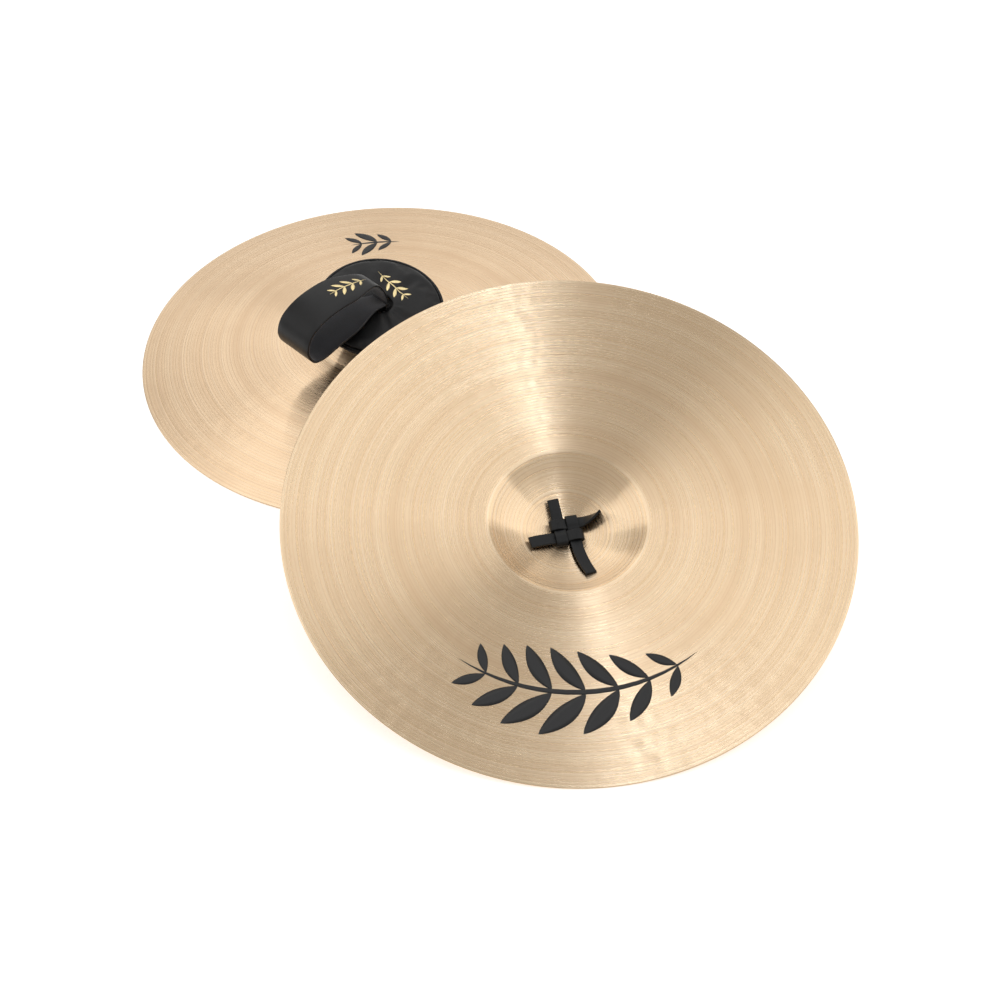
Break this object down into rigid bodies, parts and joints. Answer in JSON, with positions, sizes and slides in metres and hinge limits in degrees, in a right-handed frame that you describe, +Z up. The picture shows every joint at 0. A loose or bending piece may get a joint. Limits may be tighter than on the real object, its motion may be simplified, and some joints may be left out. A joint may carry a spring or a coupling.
{
  "type": "hand cymbals",
  "caption": "Bowed bronze hand cymbals with domed bells, round leather pads and looped leather hand straps knotted through the bells.",
  "frame": {"origin": "on the floor, in the middle of the pair's box", "axes": "+Z up; +Y from the front cymbal towards the rear one, along the longest side; +X to the right"},
  "size_m": [0.6214, 0.7202, 0.1152],
  "materials": {
    "bronze_front": "satin lathed bronze",
    "bronze_rear": "satin lathed bronze",
    "leather_black": "smooth black leather",
    "leather_strap": "smooth black strap leather",
    "suede_lining": "brushed suede",
    "felt_filling": "pressed felt",
    "thread_black": "waxed thread"
  },
  "bodies": {
    "rear_cymbal": {"rear_plate": "bronze_rear"},
    "rear_knot": {"rear_thong_back": "leather_strap", "rear_thong_right": "leather_strap", "rear_thong_front": "leather_strap", "rear_thong_left": "leather_strap"},
    "rear_pad": {"rear_pad_base": "leather_black", "rear_pad_filling": "felt_filling", "rear_pad_cover": "leather_black", "rear_pad_stitching": "thread_black"},
    "rear_neck": {"rear_strap_neck": "leather_strap"},
    "rear_hand_loop": {"rear_strap_leather": "leather_strap", "rear_strap_lining": "suede_lining"},
    "front_cymbal": {"front_plate": "bronze_front"},
    "front_knot": {"front_thong_back": "leather_strap", "front_thong_right": "leather_strap", "front_thong_front": "leather_strap", "front_thong_left": "leather_strap"},
    "front_pad": {"front_pad_base": "leather_black", "front_pad_filling": "felt_filling", "front_pad_cover": "leather_black", "front_pad_stitching": "thread_black"},
    "front_neck": {"front_strap_neck": "leather_strap"},
    "front_hand_loop": {"front_strap_leather": "leather_strap", "front_strap_lining": "suede_lining"}
  },
  "joints": [
    {"name": "front_lift", "type": "slide", "parent": "rear_cymbal", "child": "front_cymbal", "axis": [0, 0, 1], "range_m": [0, 0.3]},
    {"name": "rear_neck_turn", "type": "hinge", "parent": "rear_cymbal", "child": "rear_neck", "pos_m": [-0.08458, 0.13121, 0.04589], "axis": [0.0978, -0.1858, 0.9777], "continuous": true},
    {"name": "rear_knot_turn", "type": "hinge", "parent": "rear_cymbal", "child": "rear_knot", "pos_m": [-0.08208, 0.13151, 0.042], "axis": [0, 0, 1], "continuous": true},
    {"name": "rear_pad_turn", "type": "hinge", "parent": "rear_cymbal", "child": "rear_pad", "pos_m": [-0.08458, 0.13121, 0.04589], "axis": [0.0978, -0.1858, 0.9777], "continuous": true},
    {"name": "rear_loop_swing", "type": "hinge", "parent": "rear_neck", "child": "rear_hand_loop", "pos_m": [-0.08348, 0.12911, 0.05693], "axis": [-0.7071, 0.7071, 0], "range_deg": [0, 75]},
    {"name": "front_neck_turn", "type": "hinge", "parent": "front_cymbal", "child": "front_neck", "pos_m": [0.0813, -0.12648, 0.01289], "axis": [0, 0, 1], "range_deg": [-20, 70]},
    {"name": "front_knot_turn", "type": "hinge", "parent": "front_cymbal", "child": "front_knot", "pos_m": [0.08142, -0.12826, 0.01743], "axis": [0.0165, -0.2495, 0.9682], "range_deg": [-20, 70]},
    {"name": "front_pad_turn", "type": "hinge", "parent": "front_cymbal", "child": "front_pad", "pos_m": [0.0813, -0.12648, 0.01289], "axis": [0, 0, 1], "continuous": true},
    {"name": "front_loop_swing", "type": "hinge", "parent": "front_neck", "child": "front_hand_loop", "pos_m": [0.0813, -0.12648, 0.00255], "axis": [0, 1, 0], "range_deg": [0, 90]}
  ],
  "couplings": [
    {"joint": "rear_knot_turn", "follows": "rear_neck_turn", "ratio": 1},
    {"joint": "front_knot_turn", "follows": "front_neck_turn", "ratio": 1}
  ]
}
